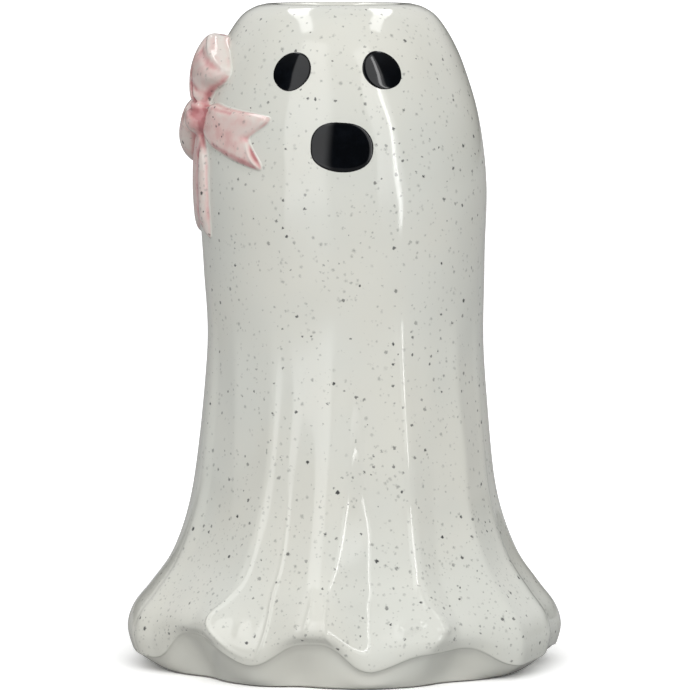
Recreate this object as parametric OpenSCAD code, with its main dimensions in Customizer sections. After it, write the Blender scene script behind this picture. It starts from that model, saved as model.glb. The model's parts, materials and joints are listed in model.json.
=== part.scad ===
// Glazed ceramic ghost vessel: a draped, flared body with an open mouth, a face laid on
// in thick black glaze, and a hand-built ribbon bow luted to the side of the head.
// The face looks along -Y, the bow is on the -X side, and the foot stands on Z = 0.

/* [Body] */
// Height from the table to the flat rim
body_height = 200; // [185:1:230]
// Mean radius of the foot on the table
foot_radius = 53.9; // [51:0.1:57]
// Mean radius of the hem, between a ridge and a valley
hem_radius = 62.6; // [60:0.1:70]
// Mean height of the hem's widest line above the table
hem_height = 14; // [13:0.5:19]
// Mean height of the edge where the skirt turns under
edge_height = 10; // [8:0.5:11.5]
// How far that edge lies inside the widest line
edge_inset = 0.9; // [0.5:0.1:2]
// Radius of the waist, above which there are no folds
waist_radius = 41.6; // [38:0.2:45]
// Height of the waist above the table
waist_height = 97; // [88:1:106]
// Radius of the chest, the widest part of the head
chest_radius = 43.6; // [42:0.2:50]
// Distance of the chest below the rim
chest_drop = 54; // [50:1:58]
// Outer radius of the flat rim
rim_radius = 22; // [21:0.5:24]
// Sideways lean of the head, towards the bow
head_lean = 1.9; // [0:0.1:4]

/* [Folds] */
// Half the depth from a ridge to a valley at the hem
fold_depth = 3.75; // [1:0.05:4.5]
// How far the turned edge falls at a lobe and rises at an arch
hem_lift = 4.7; // [1:0.1:5.5]
// How far round the folds at the front left drift as they rise
fold_fan = 9; // [0:0.5:12]

/* [Cavity] */
// Thickness of the cast wall
wall = 4.5; // [3.5:0.1:5.5]
// Thickness of the floor above the table
floor_thickness = 7; // [6:0.5:10]
// Radius of the open mouth
mouth_radius = 17.5; // [15:0.5:19]
// Length of the straight neck below the rim
neck_length = 5.5; // [5:0.5:7]
// Width of the dry ring that the vessel stands on
foot_ring_width = 7.5; // [6:0.5:12]
// Depth of the recess inside the foot ring
recess_depth = 2; // [1:0.5:3]

/* [Face] */
// Width of an eye
eye_width = 11.8; // [9:0.1:14]
// Height of an eye
eye_height = 12; // [9:0.1:14]
// Distance along the surface from the middle of the face to an eye
eye_spread = 13.7; // [11:0.1:16]
// Distance of the eyes below the rim
eye_drop = 19; // [17:0.5:23]
// Width of the opening drawn as the mouth
lips_width = 18.4; // [14:0.2:22]
// Height of the opening drawn as the mouth
lips_height = 14.3; // [10:0.1:18]
// Distance of the drawn mouth below the rim
lips_drop = 41; // [38:0.5:48]
// Thickness of the black glaze in the middle of an eye or the mouth
glaze_crown = 0.8; // [0.5:0.1:1.5]
// Thickness of the black glaze at its edge
glaze_edge = 0.35; // [0.2:0.05:0.5]

/* [Bow] */
// Angle from the middle of the face round to the knot
bow_angle = 76; // [66:1:90]
// Distance of the knot below the rim
knot_drop = 34; // [33:0.5:44]
// Reach of the bow, which its outlines are shares of
bow_reach = 24; // [20:0.5:24.5]
// Width of the knot round the head
knot_width = 9; // [5:0.2:9.6]
// Height of the knot
knot_height = 9.4; // [5:0.2:9.8]
// Thickness of the knot
knot_thickness = 5.8; // [3:0.1:8]
// Thickness of the puffed loops
loop_thickness = 6.4; // [3:0.1:9]
// Thickness of the tails
tail_thickness = 1.9; // [1.2:0.1:3]
// Thickness of the clay at the edge of a loop or tail
clay_edge = 0.7; // [0.4:0.05:1]

/* [Hidden] */

// Film of slip between the body and what is laid on it
slip_gap = 0.12;
// Crease round the knot, where the loops and tails spring from it
knot_gap = 0.3;
// How far a cutting body runs past what it cuts
overrun = 1;
// Middle of the face, from the front of the body
face_angle = -0.4;
// Middle of the drawn mouth, from the front of the body
lips_angle = 0.9;
// How square the outline of the drawn mouth is; 2 is an ellipse
lips_squareness = 2.3;
// Where that drift is greatest, and how far it spreads to each side
fan_angle = -22;
fan_spread = 20;

chest_height = body_height - chest_drop;
white = [0.86, 0.87, 0.83];
pink = [0.87, 0.66, 0.66];
black = [0.03, 0.03, 0.04];

// Facets: steps round the body, steps between two stations of its outside, and steps on the
// laid pieces. The cavity has one step between two stations
round_steps = 120;
station_steps = 2;
cavity_round_steps = 48;
cap_sectors = 36;
cap_rings = 5;
strip_length_steps = 18;
strip_width_steps = 12;

// Columns: height share, radius share, fold share, lift share
under_shares = [
    [0.3, 0.25, 0.7, 0.45],
    [0.72, 0.66, 0.85, 0.87],
    [0.9, 0.87, 0.9, 0.97]
];
skirt_shares = [
    [0.057, 0.917, 0.97, 0.3],
    [0.127, 0.705, 0.8, 0.12],
    [0.24, 0.424, 0.56, 0],
    [0.424, 0.19, 0.42, 0],
    [0.646, 0.086, 0.26, 0]
];
belly_shares = [[0.5, 0.48]];
dome_shares = [
    [0.35, 0.925],
    [0.63, 0.74],
    [0.8, 0.565],
    [0.925, 0.36],
    [0.98, 0.17]
];
foot_fold_share = 0.5;
edge_fold_share = 0.9;
hem_lift_share = 0.6;
waist_fold_share = 0.09;

// Columns: angle from the front of the body, and level from valley to ridge
fold_turns = [
    [-180, 0.75], [-168, 0.85], [-156, -0.9], [-144, 0.7], [-127, 0.95], [-115, -0.7],
    [-103, 0.95], [-64, 1], [-50, -1], [-40, 0.5], [-26, 0.85], [-14, -0.95], [-4, 0.35],
    [8, 1], [20, 0.7], [35, -1], [47, 0.6], [63, 1], [76, 0.15], [90, 0.9], [103, 0.7],
    [117, -0.9], [131, 0.6], [147, 0.9], [160, -0.8], [173, 0.7], [180, 0.75]
];

// Columns: angle from the front of the body, and level of the turned edge, lobes positive
edge_turns = [
    [-180, 0.7], [-172, 0.75], [-156, -0.9], [-139, 0.6], [-127, 0.7], [-115, -0.8],
    [-100, 0.8], [-66, 1], [-54, -0.95], [-45, -1], [-27, 0.6], [-13, -0.9], [-6, -0.95],
    [6, 0.85], [24, -0.25], [38, -0.35], [54, 1.1], [66, 1], [77, 0.4], [92, 0.9],
    [104, 0.6], [116, -0.8], [136, 0.7], [148, 0.7], [160, -0.7], [176, 0.6], [180, 0.7]
];

// Outlines of the bow beyond the knot. Columns: round the head towards the face, and up
upper_loop_back_shares = [
    [-0.6, 0.3], [-0.85, 0.54], [-0.87, 0.78], [-0.64, 0.94], [-0.3, 1]
];
upper_loop_front_shares = [
    [0.27, 0.35], [0.56, 0.46], [0.53, 0.63], [0.25, 0.84], [-0.04, 0.98]
];
rear_loop_top_shares = [
    [-0.444, 0.229], [-0.793, 0.233], [-1.142, 0.125], [-1.395, -0.05], [-1.506, -0.213]
];
rear_loop_bottom_shares = [
    [-0.365, -0.408], [-0.603, -0.558], [-0.951, -0.625], [-1.268, -0.563], [-1.443, -0.396]
];
front_tail_top_shares = [
    [0.412, 0.179], [0.666, 0.142], [0.951, 0.113], [1.237, 0.083], [1.484, 0.046]
];
front_tail_bottom_shares = [
    [0.396, -0.308], [0.634, -0.379], [0.888, -0.463], [1.142, -0.533], [1.376, -0.592]
];
hanging_tail_front_shares = [
    [0.285, -0.458], [0.317, -0.75], [0.311, -1.042], [0.301, -1.292], [0.279, -1.483]
];
hanging_tail_back_shares = [
    [-0.254, -0.5], [-0.333, -0.771], [-0.428, -1.042], [-0.523, -1.271], [-0.618, -1.458]
];

// Where each piece springs from the knot: turns from the side towards the face, upwards
upper_loop_turns = [138, 58];
rear_loop_turns = [215, 150];
front_tail_turns = [40, -42];
hanging_tail_turns = [-62, -118];
knot_squareness = 2.2;
front_notch_share = 0.26;
hanging_notch_share = 0.2;
neck_share = 0.8;
crest_share = 0.45;

// Smooth curve through a table of rows, at a row number that need not be whole
function spline(rows, spot) =
    let (last = len(rows) - 1,
        row = max(0, min(last - 1, floor(spot))),
        step = spot - row,
        before = rows[max(0, row - 1)],
        from = rows[row],
        to = rows[row + 1],
        after = rows[min(last, row + 2)])
    0.5 * (2 * from + (to - before) * step
        + (2 * before - 5 * from + 4 * to - after) * pow(step, 2)
        + (3 * from - before - 3 * to + after) * pow(step, 3));

function between(low, high, share) = low + (high - low) * share;

function smooth(share) =
    let (held = max(0, min(1, share))) held * held * (3 - 2 * held);

// Stations of the body from foot to rim: height, radius, fold and lift in real sizes
edge_radius = hem_radius - edge_inset;
stations = concat(
    [[0, foot_radius, foot_fold_share * fold_depth, 0]],
    [for (s = under_shares) [s[0] * edge_height, between(foot_radius, edge_radius, s[1]),
        s[2] * fold_depth, s[3] * hem_lift]],
    [[edge_height, edge_radius, edge_fold_share * fold_depth, hem_lift]],
    [[hem_height, hem_radius, fold_depth, hem_lift_share * hem_lift]],
    [for (s = skirt_shares) [between(hem_height, waist_height, s[0]),
        between(waist_radius, hem_radius, s[1]), s[2] * fold_depth, s[3] * hem_lift]],
    [[waist_height, waist_radius, waist_fold_share * fold_depth, 0]],
    [for (s = belly_shares) [between(waist_height, chest_height, s[0]),
        between(waist_radius, chest_radius, s[1]), 0, 0]],
    [[chest_height, chest_radius, 0, 0]],
    [for (s = dome_shares) [between(chest_height, body_height, s[0]),
        between(rim_radius, chest_radius, s[1]), 0, 0]],
    [[body_height, rim_radius, 0, 0]]
);
hem_row = len(under_shares) + 2;
waist_row = hem_row + len(skirt_shares) + 1;
rim_row = len(stations) - 1;

// Level at an angle, from a table of turns: S-shaped steps from one turn to the next
function level_at(turns, angle) =
    let (turned = angle - 360 * floor((angle + 180) / 360),
        row = max([for (i = [0 : len(turns) - 2]) if (turns[i][0] <= turned) i]),
        from = turns[row],
        to = turns[row + 1],
        share = (turned - from[0]) / (to[0] - from[0]))
    between(from[1], to[1], (1 - cos(180 * share)) / 2);

// Angle at the hem of the fold that is found at this angle and height
function fold_angle(angle, height) =
    angle - fold_fan * exp(-pow((angle - fan_angle) / fan_spread, 2))
        * smooth((height - hem_height) / (waist_height - hem_height));

function lean_at(height) =
    -head_lean * smooth((height - waist_height) / (body_height - waist_height));

// Outward direction of the mean profile: along the radius, and up
function profile_normal(spot) =
    let (reach = 0.05,
        ahead = spline(stations, min(rim_row, spot + reach)),
        behind = spline(stations, max(0, spot - reach)),
        rise = ahead[0] - behind[0],
        run = ahead[1] - behind[1],
        size = norm([rise, run]))
    [rise / size, -run / size];

// Point on the body, set in by a distance square to the mean profile
function body_point(angle, spot, inset = 0) =
    let (place = spline(stations, spot),
        square = profile_normal(spot),
        level = level_at(fold_turns, fold_angle(angle, place[0])),
        radius = place[1] + place[2] * level - inset * square[0],
        height = place[0] - place[3] * level_at(edge_turns, angle) - inset * square[1])
    [lean_at(height) + radius * sin(angle), -radius * cos(angle), height];

function ring(height_spot, steps, inset = 0) =
    [for (i = [0 : steps - 1]) body_point(360 * i / steps - 180, height_spot, inset)];

// Closed solid through rings of points that each go the same way round
module ring_solid(rings) {
    count = len(rings[0]);
    top = len(rings) - 1;
    points = [for (r = rings) each r];
    sides = [for (r = [0 : top - 1]) for (i = [0 : count - 1])
        let (a = r * count + i, b = r * count + (i + 1) % count, c = a + count, d = b + count)
        each [[a, c, b], [b, c, d]]];
    floor_face = [for (i = [0 : count - 1]) i];
    roof_face = [for (i = [count - 1 : -1 : 0]) top * count + i];
    polyhedron(points, concat(sides, [floor_face], [roof_face]), convexity = 10);
}

function flat_ring(radius, height, steps) =
    [for (i = [0 : steps - 1]) let (angle = 360 * i / steps - 180)
        [lean_at(height) + radius * sin(angle), -radius * cos(angle), height]];

// Outside of the vessel, solid
module body_outside() {
    spots = [for (i = [0 : rim_row * station_steps]) i / station_steps];
    ring_solid([for (spot = spots) ring(spot, round_steps)]);
}

// Room inside the vessel, from the floor to the shoulder under the neck
module body_cavity() {
    shoulder_row = rim_row - 2;
    ceiling_height = body_height - neck_length;
    spots = [for (i = [hem_row : shoulder_row]) i];
    floor_radius = foot_radius - wall;
    ring_solid(concat(
        [flat_ring(floor_radius, floor_thickness, cavity_round_steps)],
        [for (spot = spots) ring(spot, cavity_round_steps, wall)],
        [flat_ring(mouth_radius + overrun, ceiling_height, cavity_round_steps)]
    ));
}

module ghost_body() {
    color(white)
    difference() {
        body_outside();
        body_cavity();
        translate([lean_at(body_height), 0, body_height - neck_length - overrun])
            cylinder(r = mouth_radius, h = neck_length + 2 * overrun, $fn = 96);
        translate([0, 0, -overrun])
            cylinder(r = foot_radius - foot_ring_width, h = recess_depth + overrun, $fn = 96);
    }
}

// Row number on the profile, between the waist and the rim, where it has this height
function spot_at(height, low = waist_row, high = rim_row, tries = 14) =
    let (middle = (low + high) / 2)
    tries == 0 ? middle
        : spline(stations, middle)[0] < height ? spot_at(height, middle, high, tries - 1)
        : spot_at(height, low, middle, tries - 1);

// Point at a distance outside the head, at an angle and a height on its surface
function laid_point(angle, height, out) = body_point(angle, spot_at(height), -out);

function arc_angle(distance, radius) = distance / radius * 180 / PI;

// Point on a squared oval, at a turn from its right-hand end
function oval(width, tall, squareness, turn) =
    let (c = cos(turn),
        s = sin(turn),
        size = pow(pow(abs(c), squareness) + pow(abs(s), squareness), -1 / squareness))
    [width / 2 * c * size, tall / 2 * s * size];

// Closed solid between an upper and a lower sheet of points, both in rows and columns
module sheet_solid(upper, lower) {
    rows = len(upper) - 1;
    columns = len(upper[0]) - 1;
    width = columns + 1;
    half = (rows + 1) * width;
    rim = concat(
        [for (j = [0 : columns]) j],
        [for (i = [1 : rows]) i * width + columns],
        [for (j = [columns - 1 : -1 : 0]) rows * width + j],
        [for (i = [rows - 1 : -1 : 1]) i * width]
    );
    cells = [for (i = [0 : rows - 1]) for (j = [0 : columns - 1]) i * width + j];
    upper_faces = [for (a = cells)
        each [[a, a + width, a + 1], [a + 1, a + width, a + width + 1]]];
    lower_faces = [for (a = cells)
        each [[half + a, half + a + 1, half + a + width],
            [half + a + 1, half + a + width + 1, half + a + width]]];
    edge_faces = [for (k = [0 : len(rim) - 1])
        let (a = rim[k], b = rim[(k + 1) % len(rim)])
        each [[a, b, half + a], [b, half + b, half + a]]];
    polyhedron(concat([for (r = upper) each r], [for (r = lower) each r]),
        concat(upper_faces, lower_faces, edge_faces), convexity = 6);
}

// Low dome laid on the head: crown thick in the middle and edge thick at its outline
module laid_cap(angle, height, width, tall, crown, edge, squareness = 2, fullness = 2) {
    radius = spline(stations, spot_at(height))[1];
    steep = profile_normal(spot_at(height))[0];
    function sheet(top) = [for (ring = [1 : cap_rings]) [for (k = [0 : cap_sectors - 1])
        let (share = ring / cap_rings,
            spot = oval(width, tall, squareness, -360 * k / cap_sectors) * sin(90 * share),
            fall = pow(1 - pow(sin(90 * share), 2 * fullness), 0.5),
            out = top ? between(edge, crown, fall) : 0)
        laid_point(angle + arc_angle(spot[0], radius), height + spot[1] * steep,
            slip_gap + out)]];
    upper = sheet(true);
    lower = sheet(false);
    count = cap_rings * cap_sectors;
    points = concat([for (r = upper) each r], [for (r = lower) each r],
        [laid_point(angle, height, slip_gap + crown), laid_point(angle, height, slip_gap)]);
    function next(k) = (k + 1) % cap_sectors;
    bands = [for (r = [0 : cap_rings - 2]) for (k = [0 : cap_sectors - 1])
        let (a = r * cap_sectors + k, b = r * cap_sectors + next(k),
            c = a + cap_sectors, d = b + cap_sectors)
        each [[a, c, b], [b, c, d],
            [count + a, count + b, count + c], [count + b, count + d, count + c]]];
    fans = [for (k = [0 : cap_sectors - 1])
        each [[2 * count, k, next(k)], [2 * count + 1, count + next(k), count + k]]];
    outer = (cap_rings - 1) * cap_sectors;
    edges = [for (k = [0 : cap_sectors - 1])
        let (a = outer + k, b = outer + next(k))
        each [[a, count + a, b], [b, count + a, count + b]]];
    polyhedron(points, concat(bands, fans, edges), convexity = 4);
}

// Place on the head of a point of the bow, given from its knot
function bow_point(offset, out) =
    laid_point(-bow_angle + arc_angle(offset[0], chest_radius),
        body_height - knot_drop + offset[1], slip_gap + out);

// Thickness of a puffed loop, along it and across it from -1 to 1
function loop_out(along, across) =
    let (rise = along < crest_share
            ? between(neck_share, 1, smooth(along / crest_share))
            : pow(1 - pow((along - crest_share) / (1 - crest_share), 2.4), 0.5),
        crown = pow(1 - pow(abs(across), 2.6), 0.5))
    between(clay_edge, loop_thickness, rise * crown);

// Thickness of a tail, along it and across it from -1 to 1
function tail_out(along, across) =
    let (crown = (1 - pow(abs(across), 8)) * (1 - pow(along, 14)))
    between(clay_edge, tail_thickness, crown * (0.86 + 0.14 * pow(across, 2)));

// Point on the outline of the knot, with the crease round it
function knot_edge(turn) =
    oval(knot_width + 2 * knot_gap, knot_height + 2 * knot_gap, knot_squareness, turn);

// Ribbon that springs from the knot between two turns, runs between two outlines, and has a
// swallow-tail notch cut into its end
module ribbon(root_turns, left_shares, right_shares, notch_share, puffed) {
    left = concat([knot_edge(root_turns[0])], left_shares * bow_reach);
    right = concat([knot_edge(root_turns[1])], right_shares * bow_reach);
    function place(along, across) =
        let (share = (1 + across) / 2,
            reach = 1 - notch_share * (1 - abs(across)),
            spot = along * reach * (len(left) - 1),
            root = knot_edge(between(root_turns[0], root_turns[1], share)),
            swell = root - between(left[0], right[0], share))
        between(spline(left, spot), spline(right, spot), share) + swell * pow(1 - along, 4);
    function sheet(top) = [for (i = [0 : strip_length_steps])
        [for (j = [0 : strip_width_steps])
            let (along = i / strip_length_steps,
                across = 2 * j / strip_width_steps - 1,
                out = !top ? 0 : puffed ? loop_out(along, across) : tail_out(along, across))
            bow_point(place(along, across), out)]];
    sheet_solid(sheet(true), sheet(false));
}

module eye(side) {
    height = body_height - eye_drop;
    radius = spline(stations, spot_at(height))[1];
    color(black)
        laid_cap(face_angle + side * arc_angle(eye_spread, radius), height,
            eye_width, eye_height, glaze_crown, glaze_edge);
}

module eye_left() {
    eye(-1);
}

module eye_right() {
    eye(1);
}

module face_mouth() {
    color(black)
        laid_cap(lips_angle, body_height - lips_drop, lips_width, lips_height,
            glaze_crown, glaze_edge, squareness = lips_squareness);
}

module bow_knot() {
    color(pink)
        laid_cap(-bow_angle, body_height - knot_drop, knot_width, knot_height,
            knot_thickness, clay_edge, squareness = knot_squareness, fullness = 1.6);
}

module bow_upper_loop() {
    color(pink)
        ribbon(upper_loop_turns, upper_loop_back_shares, upper_loop_front_shares, 0, true);
}

module bow_rear_loop() {
    color(pink)
        ribbon(rear_loop_turns, rear_loop_bottom_shares, rear_loop_top_shares, 0, true);
}

module bow_front_tail() {
    color(pink)
        ribbon(front_tail_turns, front_tail_top_shares, front_tail_bottom_shares,
            front_notch_share, false);
}

module bow_hanging_tail() {
    color(pink)
        ribbon(hanging_tail_turns, hanging_tail_front_shares, hanging_tail_back_shares,
            hanging_notch_share, false);
}

ghost_body();
eye_left();
eye_right();
face_mouth();
bow_knot();
bow_upper_loop();
bow_rear_loop();
bow_front_tail();
bow_hanging_tail();
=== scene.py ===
import json
import math

import bpy
import numpy as np
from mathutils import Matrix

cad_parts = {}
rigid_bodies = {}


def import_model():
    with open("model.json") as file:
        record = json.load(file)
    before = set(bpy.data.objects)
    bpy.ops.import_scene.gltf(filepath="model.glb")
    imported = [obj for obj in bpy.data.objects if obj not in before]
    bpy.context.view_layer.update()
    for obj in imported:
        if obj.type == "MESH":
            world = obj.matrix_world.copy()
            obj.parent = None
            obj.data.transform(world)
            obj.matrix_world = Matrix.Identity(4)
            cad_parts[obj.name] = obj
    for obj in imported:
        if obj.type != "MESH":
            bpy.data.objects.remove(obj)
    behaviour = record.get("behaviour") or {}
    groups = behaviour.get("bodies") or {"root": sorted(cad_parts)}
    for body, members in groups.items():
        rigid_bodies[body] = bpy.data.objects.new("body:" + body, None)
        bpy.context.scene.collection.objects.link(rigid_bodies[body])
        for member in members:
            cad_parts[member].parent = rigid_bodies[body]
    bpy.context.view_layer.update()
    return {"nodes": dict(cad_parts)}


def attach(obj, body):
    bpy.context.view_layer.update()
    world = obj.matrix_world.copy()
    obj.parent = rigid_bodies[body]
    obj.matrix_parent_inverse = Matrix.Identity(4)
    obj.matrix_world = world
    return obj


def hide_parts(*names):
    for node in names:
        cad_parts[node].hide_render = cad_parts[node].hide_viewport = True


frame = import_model()
print("frame: loaded, nodes", sorted(frame["nodes"]))

metre = 0.001  # one millimetre, in metres


# Small helpers

def smooth(share):
    held = np.clip(share, 0, 1)
    return held * held * (3 - 2 * held)


def between(low, high, share):
    return low + (high - low) * share


def spline(rows, spot):
    # smooth curve through a table of rows, at row numbers that need not be whole
    rows = np.asarray(rows, float)
    spot = np.asarray(spot, float)
    last = len(rows) - 1
    row = np.clip(np.floor(spot).astype(int), 0, last - 1)
    step = (spot - row)[..., None]
    before, start = rows[np.maximum(row - 1, 0)], rows[row]
    end, after = rows[row + 1], rows[np.minimum(row + 2, last)]
    return 0.5 * (2 * start + (end - before) * step
                  + (2 * before - 5 * start + 4 * end - after) * step ** 2
                  + (3 * start - before - 3 * end + after) * step ** 3)


def levelAt(turns, angle):
    # S-shaped steps from one turn of the table to the next
    turns = np.asarray(turns, float)
    turned = np.mod(angle + 180, 360) - 180
    row = np.clip(np.searchsorted(turns[:, 0], turned, side="right") - 1, 0, len(turns) - 2)
    share = (turned - turns[row, 0]) / (turns[row + 1, 0] - turns[row, 0])
    return between(turns[row, 1], turns[row + 1, 1], (1 - np.cos(np.pi * share)) / 2)


def averageLevel(turns, angle, spread):
    # the same, averaged over a spread of degrees to both sides
    return sum(levelAt(turns, angle + step) for step in (-spread, 0, spread)) / 3


# Body shape

bodySizes = {
    "height": 200.0,
    "footRadius": 53.9,
    "hemRadius": 62.6,
    "hemHeight": 14.0,
    "edgeHeight": 10.0,       # where the skirt turns under
    "edgeInset": 0.9,
    "waistRadius": 41.6,
    "waistHeight": 97.0,
    "chestRadius": 43.6,
    "chestDrop": 54.0,
    "rimRadius": 22.0,
    "rimInset": 0.7,          # how far in from it the flat rim starts
    "headLean": 1.9,          # towards the bow
    "foldDepth": 3.75,
    "hemLift": 4.7,
    "foldSoftness": 3.5,      # degrees over which the plain folds and the turned edge are
    "edgeSoftness": 2.5,      # averaged
    "foldFan": 9.0,
    "fanAngle": -22.0,
    "fanSpread": 20.0,
    "wall": 4.5,
    "floorThickness": 7.0,
    "mouthRadius": 17.5,
    "neckLength": 5.5,
    "footRingWidth": 7.5,
    "recessDepth": 2.0,
    "floorCentre": 25.0,      # radius of the innermost ring of the floor
    "frontSteps": 560,        # columns over the folded front, and over the rest
    "backSteps": 240,
    "stationSteps": 8,
    "cavitySteps": 3,
    "wobble": 0.11,           # hand-finished unevenness of the cast form
    "grainsFull": 16.0,       # up to here the skirt has its own share of speckles, which
    "grainsFade": 62.0,       # passes into the head's over this height
    "bandStart": 0.35,        # rows below the turned edge where the speckles come in, and
    "bandRows": 0.8,          # over how many
}

# Columns: height share, radius share, fold share, lift share
underShares = [[0.3, 0.25, 0.7, 0.45], [0.72, 0.66, 0.85, 0.87], [0.9, 0.87, 0.9, 0.97]]
skirtShares = [[0.057, 0.917, 0.97, 0.3], [0.127, 0.705, 0.8, 0.12], [0.24, 0.424, 0.56, 0],
               [0.424, 0.19, 0.42, 0], [0.646, 0.086, 0.26, 0]]
domeShares = [[0.35, 0.925], [0.63, 0.74], [0.8, 0.565], [0.925, 0.36], [0.98, 0.17]]

# Columns: angle, and level from valley to ridge
foldTurns = [
    [-180, 0.75], [-168, 0.85], [-156, -0.9], [-144, 0.7], [-127, 0.95], [-115, -0.7],
    [-103, 0.95], [-64, 1], [-50, -1], [-40, 0.5], [-26, 0.85], [-14, -0.95], [-4, 0.35],
    [8, 1], [20, 0.7], [35, -1], [47, 0.6], [63, 1], [76, 0.4], [90, 0.9], [103, 0.7],
    [117, -0.9], [131, 0.6], [147, 0.9], [160, -0.8], [173, 0.7], [180, 0.75],
]
# Columns: angle, and level of the turned edge, lobes positive
edgeTurns = [
    [-180, 0.7], [-172, 0.75], [-156, -0.9], [-139, 0.6], [-127, 0.7], [-115, -0.8],
    [-100, 0.8], [-66, 1], [-54, -0.95], [-45, -1], [-27, 0.6], [-13, -0.9], [-6, -0.95],
    [6, 0.85], [24, -0.25], [38, -0.35], [54, 1.1], [66, 1], [77, 0.65], [92, 0.9],
    [104, 0.6], [116, -0.8], [136, 0.7], [148, 0.7], [160, -0.7], [176, 0.6], [180, 0.7],
]


def bodyStations(size):
    # rows from the foot to the rim: height, radius, fold and lift
    fold, lift = size["foldDepth"], size["hemLift"]
    edgeRadius = size["hemRadius"] - size["edgeInset"]
    chestHeight = size["height"] - size["chestDrop"]
    rows = [[0, size["footRadius"], 0.5 * fold, 0]]
    rows += [[a * size["edgeHeight"], between(size["footRadius"], edgeRadius, b),
              c * fold, d * lift] for a, b, c, d in underShares]
    rows += [[size["edgeHeight"], edgeRadius, 0.9 * fold, lift],
             [size["hemHeight"], size["hemRadius"], fold, 0.6 * lift]]
    rows += [[between(size["hemHeight"], size["waistHeight"], a),
              between(size["waistRadius"], size["hemRadius"], b), c * fold, d * lift]
             for a, b, c, d in skirtShares]
    rows += [[size["waistHeight"], size["waistRadius"], 0.09 * fold, 0],
             [between(size["waistHeight"], chestHeight, 0.5),
              between(size["waistRadius"], size["chestRadius"], 0.48), 0, 0],
             [chestHeight, size["chestRadius"], 0, 0]]
    rows += [[between(chestHeight, size["height"], a),
              between(size["rimRadius"], size["chestRadius"], b), 0, 0] for a, b in domeShares]
    return np.array(rows + [[size["height"], size["rimRadius"], 0, 0]])


stations = bodyStations(bodySizes)
edgeRow = len(underShares) + 1
hemRow = edgeRow + 1
waistRow = hemRow + len(skirtShares) + 1
rimRow = len(stations) - 1


# Folds of the skirt's front, as nearly flat faces between edges, the way glazed cloth folds
# lie. A list of six has one value for each of the heights.
drapeSizes = {
    "heights": [92, 66, 46, 27, 18, 10],
    "rounding": [1.5, 1.3, 1.1, 0.9, 0.9, 1.2],   # degrees over which an edge is rounded
    "top": 114.0,             # the folds run out between these two heights
    "full": 86.0,
    "span": 76.0,             # on both sides of the front
    "blend": 10.0,            # degrees over which they pass into the plain folds
    "slopeStretch": 1.25,     # length on the sloping skirt for each millimetre of height
    "bevelled": "rightEdge",
    "bevelFace": [22, 22, 21.3, 14, 10, 20],      # the way the bevel looks, in degrees
    "bevelWidth": [0.5, 2.4, 3.0, 2.8, 1.8, 0.5],
}
# Each edge has its angles, how far it stands out, and the way the face to its right looks at
# the three upper heights. Where only the lower distances are given, the upper ones follow
# from the face to the edge's left.
drapeEdges = {
    "leftEnd": {"angles": [-74] * 6, "out": [0.3, 1, 1.7, 2.7, 3.5, 3.3]},
    "leftValley": {"angles": [-52, -51, -49, -48, -48.5, -51],
                   "out": [-0.3, -0.8, -1, -0.9, -1.7, -2.1], "face": [-43, -46, -50]},
    "leftLobe": {"angles": [-31, -31.2, -34, -37.4, -40.8, -39],
                 "out": [0.9, 1.4, 0.9], "face": [-20, -16, -14]},
    "leftLobeInner": {"angles": [-27, -28, -31, -35, -38.5, -36],
                      "out": [0.1, 0.9, 0.9], "face": [-24.5, -27, -28]},
    "leftCrease": {"angles": [-20.5, -22, -23.3, -24.8, -25.5, -27.5],
                   "out": [-0.5, -1.8, -0.5], "face": [-17, -17, -17]},
    "leftCreaseInner": {"angles": [-18.5, -20, -21.5, -23, -23, -24.5],
                        "out": [-0.7, -2.4, -1], "face": [-20, -26, -28]},
    "middleRidge": {"angles": [-9.5, -10, -11, -12.5, -13.5, -14.5],
                    "out": [1.4, 0.3, -1.6], "face": [-13, -13, -13]},
    "middleRidgeInner": {"angles": [-5.5, -6.2, -7.5, -9, -10, -10],
                         "out": [1.5, 0.5, -1.8], "face": [0, 2, 2]},
    "creaseEdge": {"angles": [1, 1, -1.6, -5, -5.5, -4.5],
                   "out": [1.2, 0.2, -1.8], "face": [12, 24.5, 25]},
    "crease": {"angles": [6.5, 7, 10.2, 8.4, 7, 7],
               "out": [-4, -5.8, -2], "face": [9, 4, 2]},
    "rightEdge": {"angles": [24, 24.3, 25, 25.5, 28, 24],
                  "out": [0.4, 1.2, 0.8], "face": [34, 40, 45]},
    "rightValley": {"angles": [36, 36, 36, 34, 34.5, 35],
                    "out": [-1.8, -2.4, -2.8], "face": [42, 38, 34]},
    "rightLobe": {"angles": [52, 52, 53, 54, 54, 54], "out": [2, 2.8, 3]},
    "rightEnd": {"angles": [74] * 6, "out": [0.3, 1, 1.7, 2.7, 3.5, 3.3]},
}


def bevelEdge(neighbours, radii):
    # the middle one of three edges, cut off into two by a face of its own
    pair = ([[], []], [[], []])
    for level, radius in enumerate(radii):
        before, corner, after = (
            (radius + out[level]) * np.array([math.sin(math.radians(angles[level])),
                                              math.cos(math.radians(angles[level]))])
            for angles, out in neighbours)
        arriving = (corner - before) / np.linalg.norm(corner - before)
        leaving = (after - corner) / np.linalg.norm(after - corner)
        first, last = (math.atan2(-run[1], run[0]) for run in (arriving, leaving))
        face = math.radians(drapeSizes["bevelFace"][level])
        width = drapeSizes["bevelWidth"][level] / math.sin(last - first)
        places = (corner - arriving * width * math.sin(last - face),
                  corner + leaving * width * math.sin(face - first))
        for (angles, out), place in zip(pair, places):
            angles.append(math.degrees(math.atan2(place[0], place[1])))
            out.append(math.hypot(place[0], place[1]) - radius)
    return list(pair)


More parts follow.
